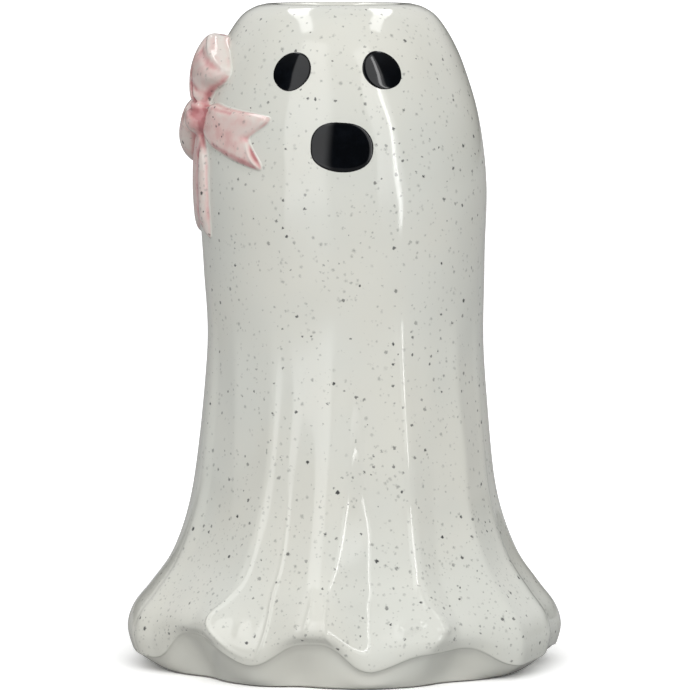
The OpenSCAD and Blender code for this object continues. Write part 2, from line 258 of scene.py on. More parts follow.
def foldEdges():
    # rows of angles and distances out, one pair for each edge, from left to right
    profile = spline(stations, np.linspace(edgeRow, rimRow, 4000))
    radii = np.interp(drapeSizes["heights"], profile[:, 0], profile[:, 1]).tolist()
    rows, face = [], None
    for edge in drapeEdges.values():
        missing = len(radii) - len(edge["out"])
        upper = []
        for level in range(missing):
            reach = radii[level] + rows[-1][1][level]
            seen, turned = (math.cos(math.radians(angles[level] - face[level]))
                            for angles in (rows[-1][0], edge["angles"]))
            upper.append(reach * seen / turned - radii[level])
        rows.append([edge["angles"], upper + edge["out"]])
        face = edge.get("face")
    place = list(drapeEdges).index(drapeSizes["bevelled"])
    rows[place:place + 1] = bevelEdge(rows[place - 1:place + 2], radii)
    return rows


foldRows = foldEdges()


def drapeOffset(angle, height, radius):
    # flat faces between the edges, rounded by averaging over a small turn
    spot = np.interp(-height, [-h for h in drapeSizes["heights"]], np.arange(6.0))
    angles = spline(np.array([row[0] for row in foldRows]).T, spot)
    outs = spline(np.array([row[1] for row in foldRows]).T, spot)
    rounding = np.interp(spot, np.arange(6.0), drapeSizes["rounding"])
    taps = np.linspace(-1.9, 1.9, 7)      # a bell curve, cut off beyond 1.9 roundings
    weights = np.exp(-0.5 * taps ** 2)
    total = 0.0
    for tap, weight in zip(taps, weights / weights.sum()):
        turned = angle + tap * rounding
        value = np.zeros(turned.shape)
        for i in range(len(foldRows) - 1):
            low, high = angles[..., i], angles[..., i + 1]
            first, last = radius + outs[..., i], radius + outs[..., i + 1]
            chord = (first * last * np.sin(np.radians(high - low))
                     / (first * np.sin(np.radians(turned - low))
                        + last * np.sin(np.radians(high - turned)) + 1e-9))
            value = np.where((turned >= low) & (turned < high), chord - radius, value)
        total = total + weight * value
    return total * smooth((drapeSizes["top"] - height)
                          / (drapeSizes["top"] - drapeSizes["full"]))


# Fine ridges along the folds, where the glaze catches the light. Each point has its angle,
# its height and how far the ridge stands out there; the width is the ridge's own.
foldRidges = {
    "leftLobe": {"width": 0.6, "points": [
        [-32.2, 49.7, 0], [-33.3, 39, 0.14], [-34.5, 31, 0.3], [-37.6, 25.7, 0.46],
        [-40.4, 21.5, 0.56], [-40.7, 19.2, 0.56], [-39.6, 17.2, 0.48], [-36.7, 14.4, 0.4],
        [-32.9, 11.2, 0.32], [-29, 9.4, 0.24], [-26, 9, 0.14]]},
    "leftLine": {"width": 0.55, "points": [
        [-21.8, 58.9, 0], [-22.1, 38.7, 0.2], [-23.1, 29.5, 0.36], [-23.4, 24.8, 0.46],
        [-23.2, 19.3, 0.5], [-23.8, 14, 0.44], [-25.4, 9.6, 0.26]]},
    "middleLeft": {"width": 0.7, "points": [
        [-9.9, 30, 0], [-10.1, 25, 0.42], [-10.6, 21.3, 0.46], [-11.4, 17.5, 0.1]]},
    "middleRight": {"width": 0.55, "points": [
        [-5.6, 29, 0], [-5.7, 24, 0.32], [-5.6, 18, 0.3], [-4.6, 15.4, 0.2],
        [-2.6, 12.4, 0]]},
    "rightLine": {"width": 0.55, "points": [
        [24.6, 30, 0], [24.6, 25.2, 0.36], [26.4, 22.6, 0.5], [29.2, 20.6, 0.34], [31, 19.8, 0]]},
    "leftDimple": {"width": 1.7, "points": [[-30.9, 18.4, 0.36], [-30.9, 15.8, 0.36]]},
    "rightDimple": {"width": 1.4, "points": [[17.2, 17.2, 0.7], [21.6, 19, 0.7]]},
    "rightDimpleOuter": {"width": 1.2, "points": [[27.6, 17.6, 0.6], [29.2, 17.2, 0.6]]},
}


def ridgeRise(angle, height, radius):
    # how far the ridges stand out at places on the body, from their distance to each route
    total = np.zeros(np.shape(angle))
    stretch = drapeSizes["slopeStretch"]
    for ridge in foldRidges.values():
        points = ridge["points"]
        route = spline(points, np.linspace(0, len(points) - 1, 8 * len(points)))
        start, step = route[:-1], np.diff(route, axis=0)
        scale = np.stack([np.radians(radius), np.full(np.shape(angle), stretch)], -1)[..., None, :]
        away = (np.stack([angle, height], -1)[..., None, :] - start[:, :2]) * scale
        along = step[:, :2] * scale
        share = np.clip((away * along).sum(-1) / (along ** 2).sum(-1), 0, 1)
        gap = np.linalg.norm(away - share[..., None] * along, axis=-1)
        rise = (start[:, 2] + share * step[:, 2]) * np.exp(-(gap / ridge["width"]) ** 2)
        total = total + rise.max(-1)
    return total


def leanAt(height):
    rise = bodySizes["height"] - bodySizes["waistHeight"]
    return -bodySizes["headLean"] * smooth((height - bodySizes["waistHeight"]) / rise)


def profileNormal(spot):
    ahead = spline(stations, np.minimum(rimRow, spot + 0.05))
    behind = spline(stations, np.maximum(0, spot - 0.05))
    rise, run = ahead[..., 0] - behind[..., 0], ahead[..., 1] - behind[..., 1]
    size = np.hypot(rise, run)
    return rise / size, -run / size


def wobbleAt(angle, height):
    # slow unevenness, the same for the body and for what is laid on it
    turn, rise = np.radians(angle), height / 1000
    wave = (np.sin(3 * turn + 61 * rise + 0.6) * np.sin(47 * rise + 1.1)
            + 0.7 * np.sin(5 * turn - 83 * rise + 2.0)
            + 0.5 * np.sin(9 * turn + 118 * rise + 0.3) * np.sin(71 * rise + 0.4)
            + 0.28 * np.sin(14 * turn - 190 * rise + 1.7))
    return bodySizes["wobble"] * wave * smooth((height - 6) / 20) * smooth((199 - height) / 14)


def bodyPoint(angle, spot, inset=0.0, wobble=1.0):
    # point on the body, set in by a distance square to the mean profile
    angle, spot, inset = np.broadcast_arrays(angle, np.asarray(spot, float), inset)
    place = spline(stations, spot)
    out, up = profileNormal(spot)
    climb = smooth((place[..., 0] - bodySizes["hemHeight"])
                   / (bodySizes["waistHeight"] - bodySizes["hemHeight"]))
    drift = np.exp(-((angle - bodySizes["fanAngle"]) / bodySizes["fanSpread"]) ** 2) * climb
    turned = angle - bodySizes["foldFan"] * drift
    level = averageLevel(foldTurns, turned, bodySizes["foldSoftness"])
    front = (smooth((drapeSizes["span"] - np.abs(angle)) / drapeSizes["blend"])
             * smooth(place[..., 0] / drapeSizes["heights"][-1]))
    fold = between(place[..., 2] * level, drapeOffset(angle, place[..., 0], place[..., 1]),
                   front)
    push = wobble * wobbleAt(angle, place[..., 0]) - inset
    lift = averageLevel(edgeTurns, angle, bodySizes["edgeSoftness"])
    height = place[..., 0] - place[..., 3] * lift
    if wobble and np.min(spot) < waistRow:
        push = push + wobble * ridgeRise(angle, height, place[..., 1])
    radius = place[..., 1] + fold + push * out
    height = height + push * up
    turn = np.radians(angle)
    return np.stack([leanAt(height) + radius * np.sin(turn), -radius * np.cos(turn), height],
                    axis=-1)


profileTable = spline(stations, np.linspace(waistRow, rimRow, 4001))[:, 0]


def spotAt(height):
    # row number on the profile, between the waist and the rim, with this height
    return np.interp(height, profileTable, np.linspace(waistRow, rimRow, 4001))


def laidPoint(angle, height, out):
    return bodyPoint(angle, spotAt(height), -np.asarray(out, float))


# Meshes

def makeObject(name, points, faces, material, masks=None):
    mesh = bpy.data.meshes.new(name)
    mesh.from_pydata((np.asarray(points) * metre).tolist(), [], faces)
    mesh.polygons.foreach_set("use_smooth", np.ones(len(mesh.polygons), bool))
    for maskName, values in (masks or {}).items():
        layer = mesh.attributes.new(maskName, "FLOAT", "POINT")
        layer.data.foreach_set("value", np.asarray(values, np.float32).ravel())
    mesh.materials.append(material)
    mesh.validate()
    mesh.update()
    piece = bpy.data.objects.new(name, mesh)
    bpy.context.scene.collection.objects.link(piece)
    return piece


def ringFaces(ringCount, columns, firstPole, lastPole):
    # quads between closed rings, with a fan of triangles at each pole
    faces = []
    for ring in range(ringCount - 1):
        for column in range(columns):
            a, b = ring * columns + column, ring * columns + (column + 1) % columns
            faces.append((a, b, b + columns, a + columns))
    if firstPole is not None:
        faces += [(firstPole, (column + 1) % columns, column) for column in range(columns)]
    if lastPole is not None:
        start = (ringCount - 1) * columns
        faces += [(lastPole, start + column, start + (column + 1) % columns)
                  for column in range(columns)]
    return faces


def sheetSolid(upper, lower):
    # closed solid between two sheets of points in rows and columns
    rows, columns = upper.shape[:2]
    half = rows * columns
    index = np.arange(half).reshape(rows, columns)
    cells = np.stack([index[:-1, :-1], index[1:, :-1], index[1:, 1:], index[:-1, 1:]], -1)
    cells = cells.reshape(-1, 4)
    rim = np.concatenate([index[0, :-1], index[:-1, -1], index[-1, :0:-1], index[:0:-1, 0]])
    follow = np.roll(rim, -1)
    sides = np.stack([rim, follow, follow + half, rim + half], -1)
    faces = cells.tolist() + (cells[:, ::-1] + half).tolist() + sides.tolist()
    return np.concatenate([upper.reshape(-1, 3), lower.reshape(-1, 3)]), faces


# Shader node groups

def newGroup(name, inputs, outputs):
    group = bpy.data.node_groups.new(name, "ShaderNodeTree")
    for socketName, kind, value in inputs:
        socket = group.interface.new_socket(socketName, in_out="INPUT", socket_type=kind)
        if value is not None:
            socket.default_value = value
    for socketName, kind in outputs:
        group.interface.new_socket(socketName, in_out="OUTPUT", socket_type=kind)
    return group, group.nodes.new("NodeGroupInput"), group.nodes.new("NodeGroupOutput")


def mathNode(tree, operation, first, second=None):
    node = tree.nodes.new("ShaderNodeMath")
    node.operation = operation
    for socket, value in zip(node.inputs, (first, second)):
        if value is None:
            continue
        if isinstance(value, (int, float)):
            socket.default_value = value
        else:
            tree.links.new(value, socket)
    return node.outputs[0]


def mixColour(tree, share, first, second):
    node = tree.nodes.new("ShaderNodeMix")
    node.data_type = "RGBA"
    for socket, value in ((node.inputs[0], share), (node.inputs[6], first),
                          (node.inputs[7], second)):
        if isinstance(value, (int, float, tuple)):
            socket.default_value = value
        else:
            tree.links.new(value, socket)
    return node.outputs[2]


def rangeNode(tree, value, low, high, outLow=0.0, outHigh=1.0):
    node = tree.nodes.new("ShaderNodeMapRange")
    node.interpolation_type = "SMOOTHSTEP"
    for socket, given in zip(node.inputs, (value, low, high, outLow, outHigh)):
        if isinstance(given, (int, float)):
            socket.default_value = given
        else:
            tree.links.new(given, socket)
    return node.outputs[0]


def noiseNode(tree, place, scale, detail=2.0, roughness=0.5):
    node = tree.nodes.new("ShaderNodeTexNoise")
    node.inputs["Scale"].default_value = scale
    node.inputs["Detail"].default_value = detail
    node.inputs["Roughness"].default_value = roughness
    tree.links.new(place, node.inputs["Vector"])
    return node.outputs["Fac"]


speckSizes = {  # millimetres: spacing of the grains in the glaze, their radius and soft edge
    "raggedness": 0.42,
    "raggedGrain": 0.55,
    "leastSize": 0.55,        # shares of the radius and of the strength that every grain has,
    "sizeSpread": 0.9,        # and how much more the largest and strongest have
    "leastStrength": 0.45,
    "strengthSpread": 0.55,
    # shift, in metres, keeps the kinds apart; most is how far a grain covers the glaze
    "faint": {"spacing": 1.9, "radius": 0.62, "softness": 1.0, "shift": 0.7, "most": 0.7,
              "tint": (0.17, 0.175, 0.165, 1)},
    "fine": {"spacing": 1.3, "radius": 0.44, "softness": 1.0, "shift": 0.55, "most": 0.55,
             "tint": (0.16, 0.165, 0.155, 1)},
    "dark": {"spacing": 2.9, "radius": 0.54, "softness": 0.5, "shift": 0.95, "most": 0.95,
             "tint": (0.035, 0.037, 0.04, 1)},
}


def speckGrains(tree, place, spacing, radius, softness, keep):
    # round grains of one kind: a mask from 0 to 1 that differs in size and strength by grain
    cell = tree.nodes.new("ShaderNodeTexVoronoi")
    cell.inputs["Scale"].default_value = 1 / (spacing * metre)
    tree.links.new(place, cell.inputs["Vector"])
    draw = tree.nodes.new("ShaderNodeSeparateColor")
    tree.links.new(cell.outputs["Color"], draw.inputs[0])
    size = mathNode(tree, "MULTIPLY_ADD", draw.outputs[0], speckSizes["sizeSpread"])
    size.node.inputs[2].default_value = speckSizes["leastSize"]
    reach = mathNode(tree, "MULTIPLY", size, radius / spacing)
    inner = mathNode(tree, "MULTIPLY", reach, 1 - softness)
    spot = rangeNode(tree, cell.outputs["Distance"], inner, reach, 1.0, 0.0)
    kept = mathNode(tree, "LESS_THAN", draw.outputs[1], keep)
    strength = mathNode(tree, "MULTIPLY_ADD", draw.outputs[2], speckSizes["strengthSpread"])
    strength.node.inputs[2].default_value = speckSizes["leastStrength"]
    return mathNode(tree, "MULTIPLY", mathNode(tree, "MULTIPLY", spot, kept), strength)


def ragged(tree, place, amount, grain):
    # place pushed about a little by fine noise, so that round grains come out uneven
    noise = tree.nodes.new("ShaderNodeTexNoise")
    noise.inputs["Scale"].default_value = 1 / (grain * metre)
    noise.inputs["Detail"].default_value = 1.0
    tree.links.new(place, noise.inputs["Vector"])
    push = tree.nodes.new("ShaderNodeVectorMath")
    push.operation = "MULTIPLY_ADD"
    tree.links.new(noise.outputs["Color"], push.inputs[0])
    push.inputs[1].default_value = [2 * amount * metre] * 3
    tree.links.new(place, push.inputs[2])
    return push.outputs[0]


def makeSpeckleGroup():
    group, given, made = newGroup(
        "glazeSpeckle",
        [("Color", "NodeSocketColor", None), ("Dark grains", "NodeSocketFloat", 0.5),
         ("Faint grains", "NodeSocketFloat", 0.5), ("Fine grains", "NodeSocketFloat", 0.5)],
        [("Color", "NodeSocketColor"), ("Grains", "NodeSocketFloat")])
    place = ragged(group, group.nodes.new("ShaderNodeTexCoord").outputs["Object"],
                   speckSizes["raggedness"], speckSizes["raggedGrain"])
    colour, total = given.outputs["Color"], None
    for kind in ("faint", "fine", "dark"):
        size = speckSizes[kind]
        shifted = group.nodes.new("ShaderNodeVectorMath")
        shifted.operation = "ADD"
        shifted.inputs[1].default_value = [times * size["shift"] for times in (1, 3, 7)]
        group.links.new(place, shifted.inputs[0])
        mask = speckGrains(group, shifted.outputs[0], size["spacing"], size["radius"],
                           size["softness"], given.outputs[kind.capitalize() + " grains"])
        mask = mathNode(group, "MULTIPLY", mask, size["most"])
        colour = mixColour(group, mask, colour, size["tint"])
        total = mask if total is None else mathNode(group, "MAXIMUM", total, mask)
    group.links.new(colour, made.inputs["Color"])
    group.links.new(total, made.inputs["Grains"])
    return group


skinSizes = {  # scales are waves per metre; heights and the dip are shares of the skin's depth
    "waveScale": 38,
    "waveHeight": 0.85,
    "peelScale": 420,
    "peelHeight": 0.02,
    "grainDip": 0.02,
    "patchScale": 90,
}


def makeGlazeSkinGroup():
    # surface of the fired glaze: slow waves, a fine orange-peel skin and uneven gloss
    group, given, made = newGroup(
        "glazeSkin",
        [("Gloss", "NodeSocketFloat", 0.07), ("Unevenness", "NodeSocketFloat", 0.03),
         ("Grains", "NodeSocketFloat", 0.0)],
        [("Height", "NodeSocketFloat"), ("Roughness", "NodeSocketFloat")])
    place = group.nodes.new("ShaderNodeTexCoord").outputs["Object"]
    waves = noiseNode(group, place, skinSizes["waveScale"], 1.5, 0.4)
    peel = noiseNode(group, place, skinSizes["peelScale"], 2, 0.5)
    height = mathNode(group, "ADD", mathNode(group, "MULTIPLY", waves, skinSizes["waveHeight"]),
                      mathNode(group, "MULTIPLY", peel, skinSizes["peelHeight"]))
    dip = mathNode(group, "MULTIPLY", given.outputs["Grains"], skinSizes["grainDip"])
    height = mathNode(group, "SUBTRACT", height, dip)
    patches = rangeNode(group, noiseNode(group, place, skinSizes["patchScale"], 3, 0.6),
                        0.35, 0.7)
    spread = mathNode(group, "MULTIPLY", patches, given.outputs["Unevenness"])
    group.links.new(height, made.inputs["Height"])
    group.links.new(mathNode(group, "ADD", given.outputs["Gloss"], spread),
                    made.inputs["Roughness"])
    return group


pinkGlazeLook = {
    "stops": [(0.0, (0.735, 0.66, 0.615, 1)), (0.3, (0.735, 0.56, 0.525, 1)),
              (0.62, (0.66, 0.375, 0.365, 1)), (1.0, (0.47, 0.19, 0.195, 1))],
    "cloudScale": 210,
    "cloud": 0.16,            # how far the brushing makes it paler or deeper
    "darkShare": 0.62,        # shares of the places that have a grain, of each kind
    "faintShare": 0.35,
    "fineShare": 0.1,
    "skinDepth": 0.1,
}


def makePinkWashGroup():
    # brushed pink under the glaze: pale on the faces, pooled in the creases
    group, given, made = newGroup(
        "pinkWash",
        [("White", "NodeSocketColor", None), ("Cover", "NodeSocketFloat", 0.0),
         ("Depth", "NodeSocketFloat", 0.0)],
        [("Color", "NodeSocketColor")])
    place = group.nodes.new("ShaderNodeTexCoord").outputs["Object"]
    cloud = rangeNode(group, noiseNode(group, place, pinkGlazeLook["cloudScale"], 3, 0.55),
                      0.3, 0.7, -pinkGlazeLook["cloud"], pinkGlazeLook["cloud"])
    depth = mathNode(group, "ADD", given.outputs["Depth"], cloud)
    ramp = group.nodes.new("ShaderNodeValToRGB")
    stops = pinkGlazeLook["stops"]
    ramp.color_ramp.elements[0].position, ramp.color_ramp.elements[0].color = stops[0]
    ramp.color_ramp.elements[1].position, ramp.color_ramp.elements[1].color = stops[-1]
    for position, colour in stops[1:-1]:
        ramp.color_ramp.elements.new(position).color = colour
    group.links.new(depth, ramp.inputs[0])
    colour = mixColour(group, given.outputs["Cover"], given.outputs["White"], ramp.outputs[0])
    group.links.new(colour, made.inputs["Color"])
    return group


speckleGroup = makeSpeckleGroup()
skinGroup = makeGlazeSkinGroup()
pinkGroup = makePinkWashGroup()
print("shader groups: made")


# Materials

def placeGroup(tree, group, **values):
    node = tree.nodes.new("ShaderNodeGroup")
    node.node_tree = group
    for name, value in values.items():
        socket = node.inputs[name.replace("_", " ")]
        if isinstance(value, (int, float, tuple)):
            socket.default_value = value
        else:
            tree.links.new(value, socket)
    return node


def attributeOf(tree, name):
    node = tree.nodes.new("ShaderNodeAttribute")
    node.attribute_name = name
    return node.outputs["Fac"]


def newMaterial(name):
    material = bpy.data.materials.new(name)
    material.use_nodes = True
    tree = material.node_tree
    return material, tree, tree.nodes["Principled BSDF"]


def addSkin(tree, shader, gloss, unevenness, depth, grains=0.0):
    skin = placeGroup(tree, skinGroup, Gloss=gloss, Unevenness=unevenness, Grains=grains)
    bump = tree.nodes.new("ShaderNodeBump")
    bump.inputs["Distance"].default_value = depth * metre
    tree.links.new(skin.outputs["Height"], bump.inputs["Height"])
    tree.links.new(bump.outputs["Normal"], shader.inputs["Normal"])
    tree.links.new(skin.outputs["Roughness"], shader.inputs["Roughness"])


whiteGlazeLook = {
    "colour": (0.715, 0.712, 0.648, 1),
    "colourCool": (0.69, 0.70, 0.648, 1),
    "bareClay": (0.62, 0.56, 0.47, 1),
    "gloss": 0.055,
    "unevenness": 0.045,
    "skinDepth": 0.16,
    "driftScale": 22,         # patches where the white turns a little cooler
    "darkShare": (0.5, 0.48),     # shares of the places that have a grain, of each kind, on
    "faintShare": (0.3, 0.25),    # the head and on the skirt
    "fineShare": (0.25, 0.62),
}


def whiteBase(tree):
    place = tree.nodes.new("ShaderNodeTexCoord").outputs["Object"]
    drift = rangeNode(tree, noiseNode(tree, place, whiteGlazeLook["driftScale"], 3, 0.5),
                      0.35, 0.65)
    return mixColour(tree, drift, whiteGlazeLook["colour"], whiteGlazeLook["colourCool"])


def makeWhiteGlaze():
    material, tree, shader = newMaterial("whiteSpeckledGlaze")
    skirt = attributeOf(tree, "skirtGrains")
    calm = attributeOf(tree, "underBand")
    upper = mathNode(tree, "SUBTRACT", 1.0, calm)
    dark, faint, fine = (
        mathNode(tree, "MULTIPLY", rangeNode(tree, skirt, 0, 1, *whiteGlazeLook[share]), upper)
        for share in ("darkShare", "faintShare", "fineShare"))
    specks = placeGroup(tree, speckleGroup, Color=whiteBase(tree), Dark_grains=dark,
                        Faint_grains=faint, Fine_grains=fine)
    colour = mixColour(tree, attributeOf(tree, "bareFoot"), specks.outputs["Color"],
                       whiteGlazeLook["bareClay"])
    tree.links.new(colour, shader.inputs["Base Color"])
    addSkin(tree, shader, whiteGlazeLook["gloss"], whiteGlazeLook["unevenness"],
            whiteGlazeLook["skinDepth"], specks.outputs["Grains"])
    return material


def makePinkGlaze():
    material, tree, shader = newMaterial("pinkWashedGlaze")
    wash = placeGroup(tree, pinkGroup, White=whiteBase(tree),
                      Cover=attributeOf(tree, "pinkCover"),
                      Depth=attributeOf(tree, "pinkDepth"))
    specks = placeGroup(tree, speckleGroup, Color=wash.outputs["Color"],
                        Dark_grains=pinkGlazeLook["darkShare"],
                        Faint_grains=pinkGlazeLook["faintShare"],
                        Fine_grains=pinkGlazeLook["fineShare"])
    tree.links.new(specks.outputs["Color"], shader.inputs["Base Color"])
    addSkin(tree, shader, whiteGlazeLook["gloss"], whiteGlazeLook["unevenness"],
            pinkGlazeLook["skinDepth"], specks.outputs["Grains"])
    return material


blackGlazeLook = {
    "colour": (0.0012, 0.0017, 0.0026, 1),
    "colourThin": (0.003, 0.004, 0.006, 1),
    "thinScale": 260,
    "gloss": 0.05,
    "unevenness": 0.03,
    "shine": 0.36,
    "skinDepth": 0.1,
}


def makeBlackGlaze():
    material, tree, shader = newMaterial("blackGlaze")
    place = tree.nodes.new("ShaderNodeTexCoord").outputs["Object"]
    thin = rangeNode(tree, noiseNode(tree, place, blackGlazeLook["thinScale"], 3, 0.6),
                     0.4, 0.75)
    colour = mixColour(tree, thin, blackGlazeLook["colour"], blackGlazeLook["colourThin"])
    tree.links.new(colour, shader.inputs["Base Color"])
    shader.inputs["Specular IOR Level"].default_value = blackGlazeLook["shine"]
    addSkin(tree, shader, blackGlazeLook["gloss"], blackGlazeLook["unevenness"],
            blackGlazeLook["skinDepth"])
    return material


whiteGlaze = makeWhiteGlaze()
pinkGlaze = makePinkGlaze()
blackGlaze = makeBlackGlaze()
print("materials: made")


# Ghost body

# Rings of the vessel beside its outside. Columns: distance from the radius named, and from
# the level named, in millimetres.
vesselRings = {
    "recess": [[-0.9, 0], [-0.2, 0.3], [0, 0.9]],     # outward; down from its roof
    "recessEdge": [[0.1, 0.5], [0.6, 0]],             # outward; up from the table
    "foot": [[3.2, 0], [1.0, 0], [0.35, 0.1]],        # inward from the outline; up
    "lip": [[1.9, 0.02], [1.0, 0.2], [0.4, 0.6], [0.08, 1.3], [0, 2.2]],  # outward; down
    "neck": [[0, 0.6], [0.3, 0.1], [1.2, 0]],         # outward; up from its lower end
    "floor": [[0.5, 0.9], [-2, 0.1]],                 # outward; up
}


def makeBody(size):
    side = drapeSizes["span"]
    angles = np.concatenate([np.linspace(-side, side, size["frontSteps"], endpoint=False),
                             np.linspace(side, 360 - side, size["backSteps"],
                                         endpoint=False)])
    columns = len(angles)
    turns = np.radians(angles)
    rings, spots = [], []

    def flatRing(radius, height):
        rings.append(np.stack([leanAt(height) + radius * np.sin(turns),
                               -radius * np.cos(turns), np.full(columns, float(height))], -1))
        spots.append(-1.0)

    # dry foot ring and the recess inside it
    recess = size["footRadius"] - size["footRingWidth"]
    flatRing(recess / 2, size["recessDepth"])
    for out, down in vesselRings["recess"]:
        flatRing(recess + out, size["recessDepth"] - down)
    for out, up in vesselRings["recessEdge"]:
        flatRing(recess + out, up)
    footPoints = bodyPoint(angles, 0.0)
    for back, lift in vesselRings["foot"]:
        ring = footPoints.copy()
        ring[:, 0] -= back * np.sin(turns)
        ring[:, 1] += back * np.cos(turns)
        ring[:, 2] = lift
        rings.append(ring)
        spots.append(-0.5)

    # outside, from the foot to the rim
    for spot in np.arange(1, rimRow * size["stationSteps"] + 1) / size["stationSteps"]:
        rings.append(bodyPoint(angles, spot))
        spots.append(spot)

    # flat rim, rounded lip and the straight neck
    top, mouth = size["height"], size["mouthRadius"]
    flatRing(size["rimRadius"] - size["rimInset"], top - vesselRings["lip"][0][1])
    for out, down in vesselRings["lip"]:
        flatRing(mouth + out, top - down)
    for out, up in vesselRings["neck"]:
        flatRing(mouth + out, top - size["neckLength"] + up)

    # inside of the vessel, down to its floor
    count = (rimRow - 2 - hemRow) * size["cavitySteps"] + 1
    for spot in np.linspace(rimRow - 2, hemRow, count):
        rings.append(bodyPoint(angles, spot, size["wall"], 0.0))
        spots.append(-2.0)
    floorRadius = size["footRadius"] - size["wall"]
    for out, up in vesselRings["floor"]:
        flatRing(floorRadius + out, size["floorThickness"] + up)
    flatRing(size["floorCentre"], size["floorThickness"])

    ringCount = len(rings)
    points = np.concatenate(rings + [np.array([[0, 0, size["recessDepth"]],
                                               [0, 0, size["floorThickness"]]])])
    firstPole, lastPole = ringCount * columns, ringCount * columns + 1
    faces = ringFaces(ringCount, columns, firstPole, lastPole)

    spotOf = np.append(np.repeat(spots, columns), [-1.0, -2.0])
    band = smooth((spotOf - edgeRow + size["bandStart"]) / size["bandRows"])
    underBand = np.where(spotOf < 0, 1.0, 1 - band)
    fade = smooth((points[:, 2] - size["grainsFull"]) / size["grainsFade"])
    skirt = np.where(spotOf < 0, 0.0, 1 - fade)
    bare = np.where((points[:, 2] < 0.3) & (spotOf < 0), 1.0, 0.0)
    body = makeObject("ghostBody", points, faces, whiteGlaze,
                      {"underBand": underBand, "skirtGrains": skirt, "bareFoot": bare})
    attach(body, "root")
    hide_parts("ghost_body")
    return body


ghostBody = makeBody(bodySizes)
print("ghost body: made,", len(ghostBody.data.polygons), "faces")


# Eyes and mouth

def oval(width, tall, squareness, turn):
    c, s = np.cos(turn), np.sin(turn)
    size = (np.abs(c) ** squareness + np.abs(s) ** squareness) ** (-1 / squareness)
    return width / 2 * c * size, tall / 2 * s * size


faceSizes = {
    "eyeLeft": {"node": "eye_left", "angle": -1.1, "side": -1, "width": 12.35, "tall": 11.35,
                "tilt": 42, "squareness": 2.05, "drop": 19.0,
                "ripples": [(2, 0.006, 0.5), (3, 0.016, 1.9), (5, 0.007, 0.4)]},
    "eyeRight": {"node": "eye_right", "angle": -1.1, "side": 1, "width": 12.5, "tall": 11.3,
                 "tilt": -38, "squareness": 2.05, "drop": 18.7,
                 "ripples": [(3, 0.014, 0.2), (4, 0.006, 2.2), (5, 0.006, 1.1)]},
    "faceMouth": {"node": "face_mouth", "angle": 0.35, "side": 0, "width": 18.7, "tall": 14.7,
                  "tilt": -3, "squareness": 2.35, "drop": 41.0,
                  "ripples": [(3, 0.008, 1.0), (5, 0.006, 2.4), (7, 0.004, 0.3)]},
    "eyeSpread": 13.6,
    "edgeOut": 0.26,          # the black glaze stands this far out just inside its edge
    "crownOut": 0.38,
    "start": 0.06,            # and starts this far under the white
    "roundness": 22,          # the higher, the tighter its edge is rounded
    "back": 0.35,             # its hidden back lies this deep, and is this much smaller
    "backShare": 0.995,
    "sectors": 96,
    "rings": 26,
}


def makeBlackPatch(name):
    size = faceSizes[name]
    height = bodySizes["height"] - size["drop"]
    radius = spline(stations, spotAt(height))[1]
    steep = profileNormal(spotAt(height))[0]
    middle = size["angle"] + size["side"] * math.degrees(faceSizes["eyeSpread"] / radius)
    turns = -np.arange(faceSizes["sectors"]) * 2 * np.pi / faceSizes["sectors"]
    tilt = math.radians(size["tilt"])
    across, up = oval(size["width"], size["tall"], size["squareness"], turns)
    ripple = 1 + sum(depth * np.sin(count * turns + start)
                     for count, depth, start in size["ripples"])
    across, up = across * ripple, up * ripple
    across, up = (across * math.cos(tilt) - up * math.sin(tilt),
                  across * math.sin(tilt) + up * math.cos(tilt))

    def ring(share, out):
        return laidPoint(middle + np.degrees(across * share / radius),
                         height + up * share * steep, np.full(len(turns), out))

    rings = []
    for step in range(1, faceSizes["rings"] + 1):
        share = math.sin(math.pi / 2 * step / faceSizes["rings"])
        lip = (1 - share ** faceSizes["roundness"]) ** 0.5 if share < 1 else 0
        crown = faceSizes["crownOut"] - faceSizes["edgeOut"]
        start = faceSizes["start"]
        rings.append(ring(share, -start + lip * (start + faceSizes["edgeOut"]
                                                 + crown * (1 - share ** 2))))
    rings.append(ring(faceSizes["backShare"], -faceSizes["back"]))
    poles = laidPoint(np.full(2, middle), np.full(2, height),
                      np.array([faceSizes["crownOut"], -faceSizes["back"]]))
    points = np.concatenate(rings + [poles])
    columns = faceSizes["sectors"]
    faces = ringFaces(len(rings), columns, len(rings) * columns, len(rings) * columns + 1)
    patch = makeObject(name, points, faces, blackGlaze)
    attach(patch, "root")
    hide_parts(size["node"])
    return patch


facePieces = [makeBlackPatch(name) for name in ("eyeLeft", "eyeRight", "faceMouth")]
print("eyes and mouth: made")


# Bow

bowSizes = {
    "angle": 76.0,            # from the middle of the face round to the knot
    "knotDrop": 34.0,
    "reach": 24.0,
    "knotWidth": 9.0,
    "knotHeight": 9.4,
    "knotThickness": 5.8,
    "knotSquareness": 2.2,
    "knotGap": 0.3,
    "loopThickness": 6.4,
    "tailThickness": 1.9,
    "clayEdge": 0.6,
    "neckShare": 0.8,
    "crestShare": 0.45,
    "cell": 0.2,              # cell of the relief map
    "soften": 0.3,            # how far the glaze rounds edges and creases
    "edgeRound": 0.55,        # and how far in the outer edges slope down
    "hem": 1.9,               # how far a piece feathers out over the body
    "bury": 0.7,              # how deep its underside lies in the wall
    "loopEnd": 2.4,           # the higher, the fuller a loop is at its end and at its sides
    "loopSides": 2.6,
    "tailEnd": 14,            # and a tail
    "tailSides": 8,
    "tailMiddle": 0.86,       # a tail's thickness along its middle, as a share
    "creaseClose": 0.55,      # how far creases between the pieces are closed
    "maskSoften": 0.5,
    "hollowSoften": 1.2,      # how far round a place its creases are looked for
    "underNeighbour": 0.3,    # how far a piece dips under the one beside it
    "hemDip": 0.14,           # and into the body at its hem, where it is thinner than
    "hemFade": 0.12,          # this
}

